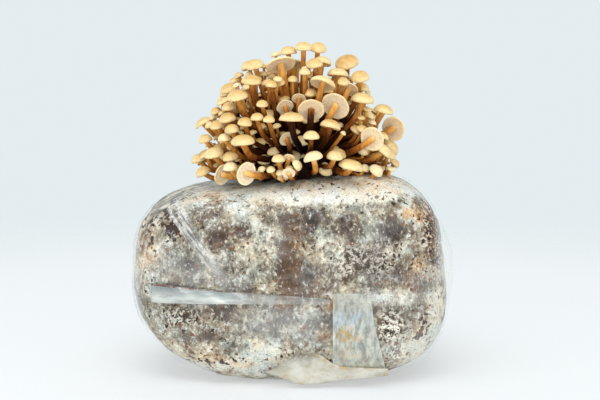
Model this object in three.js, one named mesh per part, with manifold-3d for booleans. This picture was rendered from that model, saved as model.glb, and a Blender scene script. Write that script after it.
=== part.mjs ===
// A golden enoki mushroom grow kit: a sawdust block grown through with white mycelium, in a clear
// plastic bag, with a bouquet of golden mushrooms growing out of an opening in the bag's top.
// Millimetres. +Z is up, +X is to the right and -Y is towards the viewer. The origin is the middle
// of the flat underside that the bag rests on.
import * as THREE from "three";
import { mergeVertices } from "three/addons/utils/BufferGeometryUtils.js";
import Module from "manifold-3d";

const wasm = await Module();
wasm.setup();
const { Vector3 } = THREE;

// Driving dimensions
// outline and face are the exponents of a sack's rounded outline and of its bulging faces, corner
// is that of its squarer top left corner and slump that of its more rounded bottom left corner.
const BAG = { width: 222, depth: 150, height: 139.5, outline: 3.1, corner: 5, slump: 2.4, face: 5 };
const BLOCK = {
  width: 218.4,
  depth: 146.6,
  height: 136,
  outline: 3.05,
  corner: 4.8,
  slump: 2.37,
  face: 4.8,
};
const FILM = 0.8; // wall of the bag
const GAP = 0.35; // clearance between pieces that touch
const FOOT_GAP = 0.85; // clearance between the slanting foot of a stem and the mound
const SAG = 5; // how far the full shape would reach below the flat underside
const SHOULDER_RISE = 12; // the right shoulder stands higher and the left one lower by this
const OPENING = { x: 6, y: -8, across: 108, deep: 88 }; // in the bag's top
const SEAL = { left: -93, right: 27, low: 58, high: 71, thick: 0.7 }; // folded seal on the front
const TAPE = { left: 28.5, right: 62, low: 9, high: 66, thick: 0.4 };
const FOOT = { x: 8, y: -10, z: 138, across: 34, deep: 31, tall: 25 }; // where the stems join
const CROWN = { x: 6, y: -8, z: 138, across: 73, deep: 58, tall: 92 }; // dome of cap middles
// The eye from which the table of mushrooms below was measured
const EYE = { x: 6.8, z: 119.8, distance: 900, elevation: THREE.MathUtils.degToRad(6) };
const SACK_GRID = [10, 6, 8]; // faces along the width, depth and height of the sack
const PALETTE = {
  substrate: [0xb5ad9d, 0.85],
  film: [0xd9dcd2, 0.25],
  tape: [0xd5d3bd, 0.25],
  foot: [0x4b2a12, 0.7],
  mushroom: [0xdcb878, 0.45],
};

// The shape of the full sack

// A low uneven swell, as a share of the size, so that bag and block bulge alike.
function swell(x, y, z) {
  return 0.007 * (Math.sin(3.1 * x + 1.7 * z + 0.6) + Math.sin(4.3 * z - 2.3 * x + 2.2 * y));
}

// A point of a sack's skin. x, y and z lie on the unit superquadric.
function skinPoint(x, y, z, sack, floor, lift = 0) {
  const bulge = 1 + swell(x, y, z);
  const tall = sack.height / 2 + lift;
  const up = sack.height / 2 - SAG / 2 + z * bulge * (tall + SAG / 2);
  const slope = SHOULDER_RISE * x * Math.max(0, z);
  const top = floor + (BAG.height - sack.height) / 4;
  return new Vector3(
    x * bulge * (sack.width / 2 + lift),
    y * bulge * (sack.depth / 2 + lift),
    Math.max(floor, up + slope + top),
  );
}

// The exponent of a sack's outline at a place.
function outlineAt(x, z, sack) {
  if (x >= 0) return sack.outline;
  return z > 0 ? sack.corner : sack.slump;
}

// How far a point of the unit cube lies out along the superquadric.
function reach(x, y, z, sack) {
  const power = outlineAt(x, z, sack);
  const outline = Math.abs(x) ** power + Math.abs(z) ** power;
  return (outline ** (sack.face / power) + Math.abs(y) ** sack.face) ** (1 / sack.face);
}

function sackGeometry(sack, floor, lift = 0) {
  const box = new THREE.BoxGeometry(2, 2, 2, ...SACK_GRID);
  box.deleteAttribute("normal");
  box.deleteAttribute("uv");
  const geometry = mergeVertices(box);
  const place = geometry.attributes.position;
  for (let i = 0; i < place.count; i++) {
    const v = new Vector3().fromBufferAttribute(place, i);
    const r = reach(v.x, v.y, v.z, sack);
    const p = skinPoint(v.x / r, v.y / r, v.z / r, sack, floor, lift);
    place.setXYZ(i, p.x, p.y, p.z);
  }
  return geometry;
}

// The height of the bag's top over a place, without its swell.
function topOver(x, y) {
  const across = Math.min(1, Math.abs(x) / (BAG.width / 2));
  const deep = Math.min(1, Math.abs(y) / (BAG.depth / 2));
  const power = outlineAt(x, 1, BAG);
  const rim = (1 - deep ** BAG.face) ** (power / BAG.face) - across ** power;
  const up = Math.max(0, rim) ** (1 / power);
  const slope = SHOULDER_RISE * (x / (BAG.width / 2)) * up;
  return (BAG.height - SAG) / 2 + up * ((BAG.height + SAG) / 2) + slope;
}

// Solids and booleans

function solidOf(geometry) {
  const bare = geometry.clone();
  bare.deleteAttribute("normal");
  bare.deleteAttribute("uv");
  const merged = mergeVertices(bare, 1e-4);
  const vertProperties = merged.attributes.position.array;
  const triVerts = new Uint32Array(merged.index.array);
  return new wasm.Manifold(new wasm.Mesh({ numProp: 3, vertProperties, triVerts }));
}

function geometryOf(solid) {
  const { vertProperties, triVerts } = solid.getMesh();
  const geometry = new THREE.BufferGeometry();
  geometry.setAttribute("position", new THREE.BufferAttribute(vertProperties, 3));
  geometry.setIndex(new THREE.BufferAttribute(triVerts, 1));
  return geometry;
}

// The largest body of a solid, without the crumbs that a cut leaves.
function mainBody(solid) {
  return solid.decompose().sort((a, b) => b.volume() - a.volume())[0];
}

// A thin closed sheet. pointAt gives its inner face at layer 0 and its outer face at layer 1.
function sheetGeometry(columns, rows, pointAt) {
  const points = [];
  const index = [];
  const at = (i, j, layer) => (layer * (rows + 1) + j) * (columns + 1) + i;
  for (let layer = 0; layer < 2; layer++)
    for (let j = 0; j <= rows; j++)
      for (let i = 0; i <= columns; i++)
        points.push(...pointAt(i / columns, j / rows, layer).toArray());
  const quad = (a, b, c, d) => index.push(a, b, c, a, c, d);
  for (let j = 0; j < rows; j++)
    for (let i = 0; i < columns; i++) {
      quad(at(i, j, 1), at(i + 1, j, 1), at(i + 1, j + 1, 1), at(i, j + 1, 1));
      quad(at(i, j, 0), at(i, j + 1, 0), at(i + 1, j + 1, 0), at(i + 1, j, 0));
    }
  for (let i = 0; i < columns; i++) {
    quad(at(i, 0, 0), at(i + 1, 0, 0), at(i + 1, 0, 1), at(i, 0, 1));
    quad(at(i + 1, rows, 0), at(i, rows, 0), at(i, rows, 1), at(i + 1, rows, 1));
  }
  for (let j = 0; j < rows; j++) {
    quad(at(0, j + 1, 0), at(0, j, 0), at(0, j, 1), at(0, j + 1, 1));
    quad(at(columns, j, 0), at(columns, j + 1, 0), at(columns, j + 1, 1), at(columns, j, 1));
  }
  const geometry = new THREE.BufferGeometry();
  geometry.setAttribute("position", new THREE.Float32BufferAttribute(points, 3));
  geometry.setIndex(index);
  return geometry;
}

// A strip that lies on the front of the bag, from lift below to above off its skin.
function frontStrip(strip, below, above, columns, rows) {
  return sheetGeometry(columns, rows, (u, v, layer) => {
    const x = THREE.MathUtils.lerp(strip.left, strip.right, u) / (BAG.width / 2);
    const height = THREE.MathUtils.lerp(strip.low, strip.high, v);
    const z = (height - (BAG.height - SAG) / 2) / ((BAG.height + SAG) / 2);
    const power = outlineAt(x, z, BAG);
    const outline = (Math.abs(x) ** power + Math.abs(z) ** power) ** (1 / power);
    const y = -((1 - outline ** BAG.face) ** (1 / BAG.face));
    return skinPoint(x, y, z, BAG, 0, layer ? above : below);
  });
}

// The bag, the block and the tape

function bag() {
  const outside = solidOf(sackGeometry(BAG, 0));
  const inside = solidOf(sackGeometry(BAG, FILM, -FILM));
  const seal = solidOf(frontStrip(SEAL, -0.4 * FILM, SEAL.thick, 6, 1));
  const hole = new THREE.CylinderGeometry(1, 1, 60, 28);
  hole.rotateX(Math.PI / 2);
  hole.scale(OPENING.across / 2, OPENING.deep / 2, 1);
  hole.translate(OPENING.x, OPENING.y, BAG.height);
  return geometryOf(mainBody(outside.subtract(inside).add(seal).subtract(solidOf(hole))));
}

function block() {
  return sackGeometry(BLOCK, FILM + GAP);
}

function tape() {
  return frontStrip(TAPE, 2 * GAP, 2 * GAP + TAPE.thick, 3, 5);
}

// The mushrooms

// Each row is one mushroom as seen from the front: where the middle of its cap shows, across from
// the eye's own line and above the ground, the cap's width, how far the cap leans to the right and
// nods towards the viewer, in degrees, how much deeper than the crown's front it lies, and, where a
// stem starts low on the foot, 1.
const FRONT = [
  [2, 229, 12, 0, 10, 0, 0],
  [13, 229, 12, 5, 22, 0, 0],
  [-8, 227, 12, -4, 5, 11, 0],
  [-15, 217, 21, -15, -28, 14, 0],
  [-5, 217, 16, -5, -25, 34, 0],
  [-31, 217, 13, -12, 15, 4, 0],
  [-35, 206, 14, 4, 10, -4, 0],
  [16, 219, 13, 10, -12, 16, 0],
  [33, 219, 17, -14, 28, 4, 0],
  [42, 209, 13, -5, 25, 0, 0],
  [28, 211, 15, 5, -5, 16, 0],
  [17, 204, 18, 18, -20, 6, 0],
  [25, 188, 20, 38, -52, 10, 0],
  [8, 185, 18, 0, -52, 4, 0],
  [35, 199, 14, 20, -38, 20, 0],
  [44, 201, 11, 12, 10, 22, 0],
  [45, 193, 16, 8, 8, 4, 0],
  [60, 185, 14, 14, 5, 6, 0],
  [67, 171, 18, 78, -58, 12, 0],
  [52, 164, 17, 55, -60, -2, 0],
  [60, 156, 13, 40, 5, 6, 0],
  [37, 145, 17, 14, 4, -3, 0],
  [25, 152, 11, 6, 12, -2, 0],
  [22, 174, 14, 14, -6, -3, 0],
  [8, 166, 11, 0, 6, -7, 0],
  [9, 152, 13, -16, 4, -5, 1],
  [-6, 179, 17, 2, -2, -5, 0],
  [-12, 187, 12, -24, -48, 17, 0],
  [0, 194, 10, 6, -44, 17, 0],
  [-31, 179, 9, -4, 8, -4, 0],
  [-44, 195, 15, -10, 14, -2, 0],
  [-51, 200, 13, -16, 12, 12, 0],
  [-51, 187, 10, -10, 12, 6, 0],
  [-52, 179, 12, -10, 12, -2, 0],
  [-59, 174, 11, -12, 10, 2, 0],
  [-49, 171, 10, -4, 12, -7, 0],
  [-39, 176, 10, 4, 14, -7, 0],
  [-68, 164, 10, -14, 10, 4, 0],
  [-41, 164, 16, -4, 8, -8, 0],
  [-62, 154, 14, -10, 12, 0, 0],
  [-73, 150, 11, -16, 8, 6, 0],
  [-70, 140, 11, -24, 12, 2, 0],
  [-50, 144, 10, -6, 12, -6, 0],
  [-56, 138, 15, -70, -40, 2, 0],
  [-39, 139, 16, -76, -48, -6, 1],
  [-10, 164, 11, -36, -50, 12, 0],
  // Small ones
  [-20, 203, 8, 4, 12, 2, 0],
  [-27, 189, 8, 2, 12, -2, 0],
  [-22, 178, 8, 2, 10, -6, 0],
  [-60, 184, 8, -16, 10, 6, 0],
  [-65, 175, 8, -14, 8, 8, 0],
  [-54, 165, 9, -8, 10, -6, 0],
  [3, 211, 8, 0, 6, 4, 0],
  [31, 205, 8, 4, 24, -2, 0],
  [-15, 150, 9, 0, 8, -2, 1],
  [-8, 150, 8, 8, -40, 2, 1],
  [-21, 142, 6, -14, 20, 1, 1],
  [-2, 145, 8, 56, 20, 0, 1],
  [-8, 140, 9, 0, -50, 0, 1],
  [31, 168, 4, 30, 10, -2, 0],
];
// The mushrooms that get a piece of their own. The later rows grow as one piece with the foot.
const FRONT_NAMED = 46;
const BACK_NAMED = 10;
const BACK_SMALL = 6;
const UNDERSIDE = 20; // a cap nodding back by more than this is an open, flat one

// The direction that a cap faces.
function facing(lean, nod) {
  const [a, b] = [lean, nod].map(THREE.MathUtils.degToRad);
  return new Vector3(Math.sin(a) * Math.cos(b), -Math.sin(b), Math.cos(a) * Math.cos(b));
}

// The point that shows across and above, as seen from the front, when it lies that deep.
function alongSight(across, above, deep) {
  const { x, z, distance, elevation } = EYE;
  const rise = (above - z) * Math.cos(elevation);
  const share = (distance + deep * Math.cos(elevation)) / distance;
  const up = (rise * share - deep * Math.sin(elevation)) / Math.cos(elevation);
  return new Vector3(x + across * share, deep, z + up);
}

// How deep the crown's front lies behind a place in the front view.
function crownFront(across, above) {
  const right = (EYE.x + across - CROWN.x) / CROWN.across;
  const up = (above - CROWN.z) / CROWN.tall;
  return CROWN.y - CROWN.deep * Math.sqrt(Math.max(0, 1 - right * right - up * up));
}

function frontMushroom([across, above, cap, lean, nod, deeper, low]) {
  const middle = alongSight(across, above, crownFront(across, above) + deeper);
  const flat = nod < -UNDERSIDE ? 0.36 : THREE.MathUtils.clamp(1.25 - cap / 28, 0.55, 0.95);
  return { middle, cap, flat, low: low === 1, face: facing(lean, nod) };
}

// The back of the crown, spread evenly by the golden angle.
function backMushroom(i, count) {
  const golden = (i * 0.61803 + 0.24) % 1;
  const around = THREE.MathUtils.degToRad(-12 + 204 * golden);
  const up = 0.06 + (0.84 * (i + 0.5)) / count;
  const out = Math.sqrt(1 - up * up);
  const way = new Vector3(out * Math.cos(around), out * Math.sin(around), up);
  const wave = Math.sin(12.9 * i + 1);
  const cap = 12.5 + 3 * wave - (i >= BACK_NAMED ? 3 : 0);
  const part = 0.97 + 0.04 * Math.cos(7.3 * i) - (i >= BACK_NAMED ? 0.12 : 0);
  const middle = new Vector3(
    CROWN.x + way.x * CROWN.across * part,
    CROWN.y + way.y * CROWN.deep * part,
    CROWN.z + way.z * CROWN.tall * part,
  );
  const face = way.clone().multiplyScalar(0.7).add(new Vector3(0, 0, 0.75)).normalize();
  return { middle, cap, flat: 0.62 + 0.2 * wave, low: false, face };
}

// The way out of the foot towards a mushroom, and the foot's surface that way.
function footPoint(way, clear) {
  const r = 1 / Math.hypot(way.x / FOOT.across, way.y / FOOT.deep, way.z / FOOT.tall);
  return new Vector3(FOOT.x, FOOT.y, FOOT.z).addScaledVector(way, r + clear);
}

// Fills in a mushroom's stem: a curve from the foot into the underside of the cap.
function grow(m) {
  const size = m.cap / 2;
  m.top = m.middle.clone().addScaledVector(m.face, -0.35 * m.flat * size);
  const way = m.top.clone().sub(new Vector3(FOOT.x, FOOT.y, FOOT.z));
  if (m.low) way.z = 2;
  m.way = way.normalize();
  m.sway = new Vector3();
  m.home = m.top.clone();
  return m;
}

function stemCurve(m, clear) {
  const start = footPoint(m.way, clear);
  const length = start.distanceTo(m.top);
  const out = m.way.clone().add(new Vector3(0, 0, -0.12)).normalize();
  const low = start.clone().addScaledVector(out, 0.36 * length).add(m.sway);
  const high = m.top.clone().addScaledVector(m.face, -0.34 * length).addScaledVector(m.sway, 0.5);
  return new THREE.CubicBezierCurve3(start, low, high, m.top);
}

function stemRadius(m, t) {
  return (0.85 + 0.068 * m.cap) * (1.18 - 0.22 * t + 0.1 * t * t);
}

// Balls that fill a mushroom, each with the part of the stem that it sits on.
function balls(m) {
  const curve = stemCurve(m, GAP);
  const made = [];
  for (let t = 0.04; t < 0.97; t += 0.08)
    made.push({ at: curve.getPoint(t), r: stemRadius(m, t) + 0.4, t });
  const size = m.cap / 2;
  const side = new Vector3(1, 0.3, 0.2).cross(m.face).normalize();
  const rim = m.top.clone().addScaledVector(m.face, 0.22 * size);
  made.push({ at: m.top.clone().addScaledVector(m.face, 0.4 * m.flat * size), r: 0.5 * size, t: 1 });
  for (let k = 0; k < 8; k++) {
    const spoke = side.clone().applyAxisAngle(m.face, (k * Math.PI) / 4);
    made.push({ at: rim.clone().addScaledVector(spoke, 0.74 * size), r: 0.34 * size, t: 1 });
  }
  return made;
}

// Moves a mushroom by a push on it at t along its stem: the cap, the bend or the foot gives way.
function shove(m, push, t) {
  m.top.addScaledVector(push, t * t);
  m.sway.addScaledVector(push, 2.5 * t * (1 - t));
  m.way.addScaledVector(push, (1 - t) ** 2 / 30).normalize();
  m.way.z = Math.max(m.way.z, 0.03);
}

const SETTLING_ROUNDS = 200;

// Lets crowded mushrooms push each other apart until none touches another or the bag.
function settle(mushrooms, rounds) {
  for (let round = 0; round < rounds; round++) {
    const all = mushrooms.map(balls);
    const spans = all.map((list) => new THREE.Box3().setFromPoints(list.map((b) => b.at)));
    for (let i = 0; i < all.length; i++)
      for (let j = i + 1; j < all.length; j++) {
        if (!spans[i].clone().expandByScalar(16).intersectsBox(spans[j])) continue;
        for (const a of all[i])
          for (const b of all[j]) {
            const apart = a.at.clone().sub(b.at);
            const deep = a.r + b.r + GAP - apart.length();
            if (deep <= 0) continue;
            apart.normalize().multiplyScalar(0.22 * deep);
            shove(mushrooms[i], apart, a.t);
            shove(mushrooms[j], apart.negate(), b.t);
          }
      }
    mushrooms.forEach((m, i) => {
      for (const b of all[i]) {
        const sunk = topOver(b.at.x, b.at.y) + 1.2 + b.r - b.at.z;
        if (sunk > 0 && b.t > 0.1) shove(m, new Vector3(0, 0, 0.4 * sunk), b.t);
      }
      m.top.lerp(m.home, 0.015);
      m.sway.multiplyScalar(0.985);
    });
  }
}

// The rings of a cap, from the gills round the margin to the crown: how far out each one lies, as
// a share of the cap's radius, and how far up, as a share of its rise.
const CAP_RINGS = [
  [0.93, -0.1],
  [1.0, 0.1],
  [0.8, 0.62],
  [0.42, 0.93],
];
const STEM_RINGS = [0, 0.3, 0.65, 1]; // shares of the stem's length
const SMALL_STEM_RINGS = [0, 0.5, 1];

// A mushroom's closed skin: rings of points up the curved stem, out along the gills, round the
// margin and over the cap. Its foot stands clear of the mound by that much.
function mushroomGeometry(m, sides, steps, clear) {
  const curve = stemCurve(m, clear);
  const size = m.cap / 2;
  const rise = m.flat * size;
  const rings = steps.map((t) => ({
    at: curve.getPoint(t),
    normal: curve.getTangent(t),
    r: stemRadius(m, t),
  }));
  for (const [out, up] of CAP_RINGS) {
    const at = m.top.clone().addScaledVector(m.face, up * rise);
    rings.push({ at, normal: m.face, r: out * size });
  }
  const points = [curve.getPoint(0).toArray()];
  let spoke = new Vector3(0.31, 0.52, 0.79);
  for (const { at, normal, r } of rings) {
    spoke = spoke.clone().addScaledVector(normal, -spoke.dot(normal)).normalize();
    for (let k = 0; k < sides; k++) {
      const out = spoke.clone().applyAxisAngle(normal, (2 * Math.PI * k) / sides);
      points.push(at.clone().addScaledVector(out, r).toArray());
    }
  }
  points.push(m.top.clone().addScaledVector(m.face, rise).toArray());
  const last = points.length - 1;
  const index = [];
  for (let k = 0; k < sides; k++) {
    const next = (k + 1) % sides;
    index.push(0, 1 + next, 1 + k);
    for (let ring = 0; ring < rings.length - 1; ring++) {
      const [a, b] = [1 + ring * sides, 1 + (ring + 1) * sides];
      index.push(a + k, a + next, b + next, a + k, b + next, b + k);
    }
    index.push(last, last - sides + k, last - sides + next);
  }
  const geometry = new THREE.BufferGeometry();
  geometry.setAttribute("position", new THREE.Float32BufferAttribute(points.flat(), 3));
  geometry.setIndex(index);
  return geometry;
}

const SMALL_SIDES = 5;
const ROOTED = 4; // how deep a small mushroom's stem starts inside the mound

// The dark mound that the stems grow from, with the small mushrooms on it, standing on the block.
function foot(small) {
  const mound = new THREE.SphereGeometry(1, 16, 10);
  mound.rotateX(Math.PI / 2);
  mound.scale(FOOT.across, FOOT.deep, FOOT.tall);
  mound.translate(FOOT.x, FOOT.y, FOOT.z);
  let solid = solidOf(mound);
  for (const m of small) {
    const geometry = mushroomGeometry(m, SMALL_SIDES, SMALL_STEM_RINGS, -ROOTED);
    solid = solid.add(solidOf(geometry));
  }
  return geometryOf(mainBody(solid.subtract(solidOf(sackGeometry(BLOCK, FILM + GAP, GAP)))));
}

// The assembly

const kit = new THREE.Group();

function put(name, geometry, [color, roughness]) {
  const mesh = new THREE.Mesh(geometry, new THREE.MeshStandardMaterial({ color, roughness }));
  mesh.name = name;
  kit.add(mesh);
}

const front = FRONT.map(frontMushroom);
const back = Array.from({ length: BACK_NAMED + BACK_SMALL }, (_, i) =>
  backMushroom(i, BACK_NAMED + BACK_SMALL),
);
const crowd = [...front, ...back].map(grow);
settle(crowd, SETTLING_ROUNDS);
const named = [...crowd.slice(0, FRONT_NAMED), ...crowd.slice(front.length, front.length + BACK_NAMED)];
const small = crowd.filter((m) => !named.includes(m));

put("substrate_block", block(), PALETTE.substrate);
put("bag_film", bag(), PALETTE.film);
put("packing_tape", tape(), PALETTE.tape);
put("cluster_base", foot(small), PALETTE.foot);
named.forEach((m, i) => {
  const sides = m.cap > 15 ? 8 : 6;
  const geometry = mushroomGeometry(m, sides, STEM_RINGS, FOOT_GAP);
  put(`mushroom_${String(i + 1).padStart(2, "0")}`, geometry, PALETTE.mushroom);
});

export default kit;
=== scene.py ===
import math
import random

import bmesh
import bpy
import numpy as np
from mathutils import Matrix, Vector, noise


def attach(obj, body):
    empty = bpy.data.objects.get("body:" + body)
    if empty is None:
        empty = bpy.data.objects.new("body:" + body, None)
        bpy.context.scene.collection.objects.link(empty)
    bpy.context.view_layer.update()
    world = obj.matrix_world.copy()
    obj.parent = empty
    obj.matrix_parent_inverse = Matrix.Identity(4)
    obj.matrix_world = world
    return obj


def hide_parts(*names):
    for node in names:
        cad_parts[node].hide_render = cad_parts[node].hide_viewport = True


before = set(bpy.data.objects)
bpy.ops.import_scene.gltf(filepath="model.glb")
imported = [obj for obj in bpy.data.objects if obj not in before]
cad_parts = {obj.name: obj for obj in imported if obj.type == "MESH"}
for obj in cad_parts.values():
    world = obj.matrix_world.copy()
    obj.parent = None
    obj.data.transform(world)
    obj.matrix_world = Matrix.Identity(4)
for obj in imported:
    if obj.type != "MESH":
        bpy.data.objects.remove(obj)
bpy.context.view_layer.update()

MM = 0.001

# Sizes, in metres

# The full sacks, shaped as in the CAD model: half sizes, and the exponents of the outline, of its
# squarer top left corner, of its more rounded bottom left corner and of the faces
BAG = {
    "half": (0.111, 0.075, 0.06975), "floor": 0.0,
    "outline": 3.1, "corner": 5.0, "slump": 2.4, "face": 5.0,
}
BLOCK = {
    "half": (0.1092, 0.0733, 0.068), "floor": 0.00115,
    "outline": 3.05, "corner": 4.8, "slump": 2.37, "face": 4.8,
}
SAG = 0.005
SHOULDER_RISE = 0.012
# The opening in the film's top. It is cut above that height, and the film round it rises a little,
# from that share of the opening's size inwards.
OPENING = {
    "middle": (0.006, -0.008), "half": (0.054, 0.044), "above": 0.12,
    "turned_up": 1.12, "rise": 0.002,
}
FILM_CELLS = (104, 66, 78)
BLOCK_CELLS = (124, 80, 92)
FILM_THICK = 0.00025
SHEET_THICK = 0.0003
# The pieces of film on the front. "off" is how far they stand off the bag.
SEAL = {
    "left": -0.093, "right": 0.027, "low": 0.058, "high": 0.071,
    "sag": 0.005, "taper": 0.35, "off": 0.0009,
}
TAPE = {"left": 0.0287, "low": 0.0085, "high": 0.0655, "off": 0.0019}
FLAP = {"left": -0.0165, "right": 0.066, "top": 0.026, "off": 0.001, "tuck": 0.0035}
# The mound that the stems grow from, and the crown that the caps make
FOOT = {"middle": Vector((0.008, -0.010, 0.138)), "half": Vector((0.034, 0.031, 0.025)), "floor": 0.136}
CROWN = {"middle": Vector((0.006, -0.008, 0.138)), "half": Vector((0.073, 0.058, 0.092))}


# Camera, light and floor

VIEW = {"target": Vector((0.0068, 0.0, 0.1198)), "distance": 0.9, "elevation": math.radians(6)}
LENS, SENSOR = 75, 36
WALL = {"color": (0.86, 0.94, 0.96), "strength": 0.90}
FLOOR = {"radius": 1.1, "faded_from": 0.45, "faded_to": 1.0, "drop": 0.0002}
WHITE = (1.0, 1.0, 1.0)
WARM_WHITE = (1.0, 0.95, 0.87)
# Softboxes: name, place, width and height, watts, tint
SOFTBOXES = (
    ("key", (-0.25, -0.55, 1.35), (1.3, 0.9), 7, WHITE),
    ("strip", (0.0, -0.75, 1.15), (0.9, 0.07), 3.5, WHITE),
    ("fill_right", (1.0, -0.9, 0.35), (0.8, 0.6), 2.5, WHITE),
    ("fill_left", (-1.0, -0.8, 0.35), (0.8, 0.6), 2.5, WHITE),
    ("fill_front", (0.0, -1.5, 0.08), (1.4, 0.15), 7.5, WARM_WHITE),
)


def put(name, data):
    """Adds an object to the scene."""
    added = bpy.data.objects.new(name, data)
    bpy.context.scene.collection.objects.link(added)
    return added


def make_camera():
    data = bpy.data.cameras.new("camera")
    data.lens = LENS
    data.sensor_width = SENSOR
    data.clip_start = 0.02
    camera = put("camera", data)
    back = Vector((0, -math.cos(VIEW["elevation"]), math.sin(VIEW["elevation"])))
    camera.location = VIEW["target"] + back * VIEW["distance"]
    camera.rotation_euler = back.to_track_quat("Z", "Y").to_euler()
    bpy.context.scene.camera = camera


def make_softbox(name, place, size, watts, tint):
    data = bpy.data.lights.new(name, "AREA")
    data.shape = "RECTANGLE"
    data.size, data.size_y = size
    data.energy = watts
    data.color = tint
    light = put(name, data)
    light.location = place
    away = Vector(place) - VIEW["target"]
    light.rotation_euler = away.to_track_quat("Z", "Y").to_euler()


def make_world():
    world = bpy.data.worlds.new("studio")
    world.use_nodes = True
    background = world.node_tree.nodes["Background"]
    background.inputs["Color"].default_value = (*WALL["color"], 1)
    background.inputs["Strength"].default_value = WALL["strength"]
    bpy.context.scene.world = world
    bpy.context.scene.view_settings.view_transform = "Standard"


# Building blocks for materials


class Look:
    """A material and short ways to add nodes to it. Sizes are in metres."""

    def __init__(self, name, **numbers):
        self.material = bpy.data.materials.new(name)
        self.material.use_nodes = True
        self.tree = self.material.node_tree
        self.shader = self.tree.nodes["Principled BSDF"]
        self.place = self.add("TexCoord").outputs["Object"]
        for socket, number in numbers.items():
            self.set(socket.replace("_", " "), number)

    def add(self, kind, **settings):
        node = self.tree.nodes.new("ShaderNode" + kind)
        for key, value in settings.items():
            setattr(node, key, value)
        return node

    def link(self, value, socket):
        if isinstance(value, bpy.types.NodeSocket):
            self.tree.links.new(value, socket)
        elif isinstance(value, tuple) and len(value) == 3 and socket.type == "RGBA":
            socket.default_value = (*value, 1)
        else:
            socket.default_value = value

    def fill(self, node, **values):
        for socket, value in values.items():
            self.link(value, node.inputs[socket])

    def set(self, socket, value):
        self.link(value, self.shader.inputs[socket])

    def attribute(self, name):
        return self.add("Attribute", attribute_name=name).outputs["Fac"]

    def attributes(self, *names):
        return [self.attribute(name) for name in names]

    def noise(self, size, detail=3, rough=0.55, place=None, warp=0.0):
        node = self.add("TexNoise")
        self.fill(node, Vector=place or self.place, Scale=1 / size)
        self.fill(node, Detail=detail, Roughness=rough, Distortion=warp)
        return node.outputs["Fac"]

    def math(self, operation, a, b=0.0, clamp=False):
        node = self.add("Math", operation=operation, use_clamp=clamp)
        self.link(a, node.inputs[0])
        self.link(b, node.inputs[1])
        return node.outputs[0]

    def times(self, a, b, clamp=False):
        return self.math("MULTIPLY", a, b, clamp)

    def plus(self, a, b, share):
        """a and a share of b."""
        return self.math("ADD", a, self.times(b, share))

    def swing(self, value, share):
        """A noise's swing about its middle, times a share."""
        return self.times(self.math("SUBTRACT", value, 0.5), share)

    def vector(self, operation, a, b):
        node = self.add("VectorMath", operation=operation)
        self.link(a, node.inputs[0])
        self.link(b, node.inputs[1])
        return node.outputs["Value" if operation == "DOT_PRODUCT" else "Vector"]

    def steps(self, value, low, high, to_low=0.0, to_high=1.0):
        node = self.add("MapRange", interpolation_type="SMOOTHSTEP")
        for socket, number in zip(range(5), (value, low, high, to_low, to_high)):
            self.link(number, node.inputs[socket])
        return node.outputs[0]

    def ramp(self, value, *stops):
        node = self.add("ValToRGB")
        elements = node.color_ramp.elements
        while len(elements) < len(stops):
            elements.new(0.5)
        for element, (position, color) in zip(elements, stops):
            element.position = position
            element.color = (*color, 1)
        self.link(value, node.inputs["Fac"])
        return node.outputs["Color"]

    def mix(self, share, a, b, blend="MIX"):
        node = self.add("Mix", data_type="RGBA", blend_type=blend)
        self.fill(node, Factor=share, A=a, B=b)
        return node.outputs["Result"]

    def stretched(self, x, y, z):
        node = self.add("Mapping")
        self.fill(node, Vector=self.place, Scale=(x, y, z))
        return node.outputs["Vector"]

    def bump(self, height, depth, strength=1.0, socket="Normal"):
        node = self.add("Bump")
        self.fill(node, Strength=strength, Distance=depth, Height=height)
        self.set(socket, node.outputs["Normal"])


def floor_look():
    look = Look("floor", Roughness=0.7)
    look.set("Base Color", (0.36, 0.365, 0.37))
    look.set("Emission Color", (0.97, 0.99, 1.0))
    look.set("Emission Strength", 0.46)
    middle = look.add("VectorMath", operation="LENGTH")
    look.link(look.place, middle.inputs[0])
    look.set("Alpha", look.steps(middle.outputs["Value"], FLOOR["faded_from"], FLOOR["faded_to"], 1.0, 0.0))
    return look.material


def make_floor():
    bm = bmesh.new()
    bmesh.ops.create_circle(bm, cap_ends=True, segments=64, radius=FLOOR["radius"])
    mesh = bpy.data.meshes.new("floor")
    bm.to_mesh(mesh)
    bm.free()
    floor = put("floor", mesh)
    floor.location.z = -FLOOR["drop"]
    mesh.materials.append(floor_look())


# Materials

CREAM = (0.65, 0.60, 0.47)
COOL_WHITE = (0.69, 0.71, 0.70)
BARK = (0.018, 0.009, 0.005)
CRUMB = (0.024, 0.014, 0.009)
SPECK = (0.024, 0.008, 0.003)
RUST = (0.46, 0.22, 0.075)
RUSTY_SPECK = (0.15, 0.055, 0.020)
CLEAR = (0.88, 0.91, 0.91)
BROWN = (0.10, 0.034, 0.013)
OCHRE_FILM = (0.50, 0.33, 0.12)


def growth_color(look, growth):
    """From thick white growth to bare sawdust, a little cooler here and warmer there."""
    color = look.ramp(
        growth,
        (0.32, (0.57, 0.58, 0.54)),
        (0.43, (0.33, 0.315, 0.265)),
        (0.53, (0.185, 0.166, 0.132)),
        (0.63, (0.082, 0.058, 0.042)),
        (0.78, (0.026, 0.013, 0.008)),
    )
    hue = look.ramp(look.noise(0.019, 3), (0.40, (0.91, 0.98, 1.02)), (0.60, (1.14, 1.0, 0.83)))
    return look.mix(1.0, color, hue, "MULTIPLY")


def add_threads(look, color, flecks):
    """White threads and bare crumbs on the growth."""
    white = look.mix(look.steps(look.noise(0.022, 3), 0.40, 0.60), CREAM, COOL_WHITE)
    color = look.mix(look.steps(flecks, 0.51, 0.61, 0.0, 0.66), color, white)
    return look.mix(look.steps(flecks, 0.45, 0.37, 0.0, 0.85), color, CRUMB)


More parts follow.
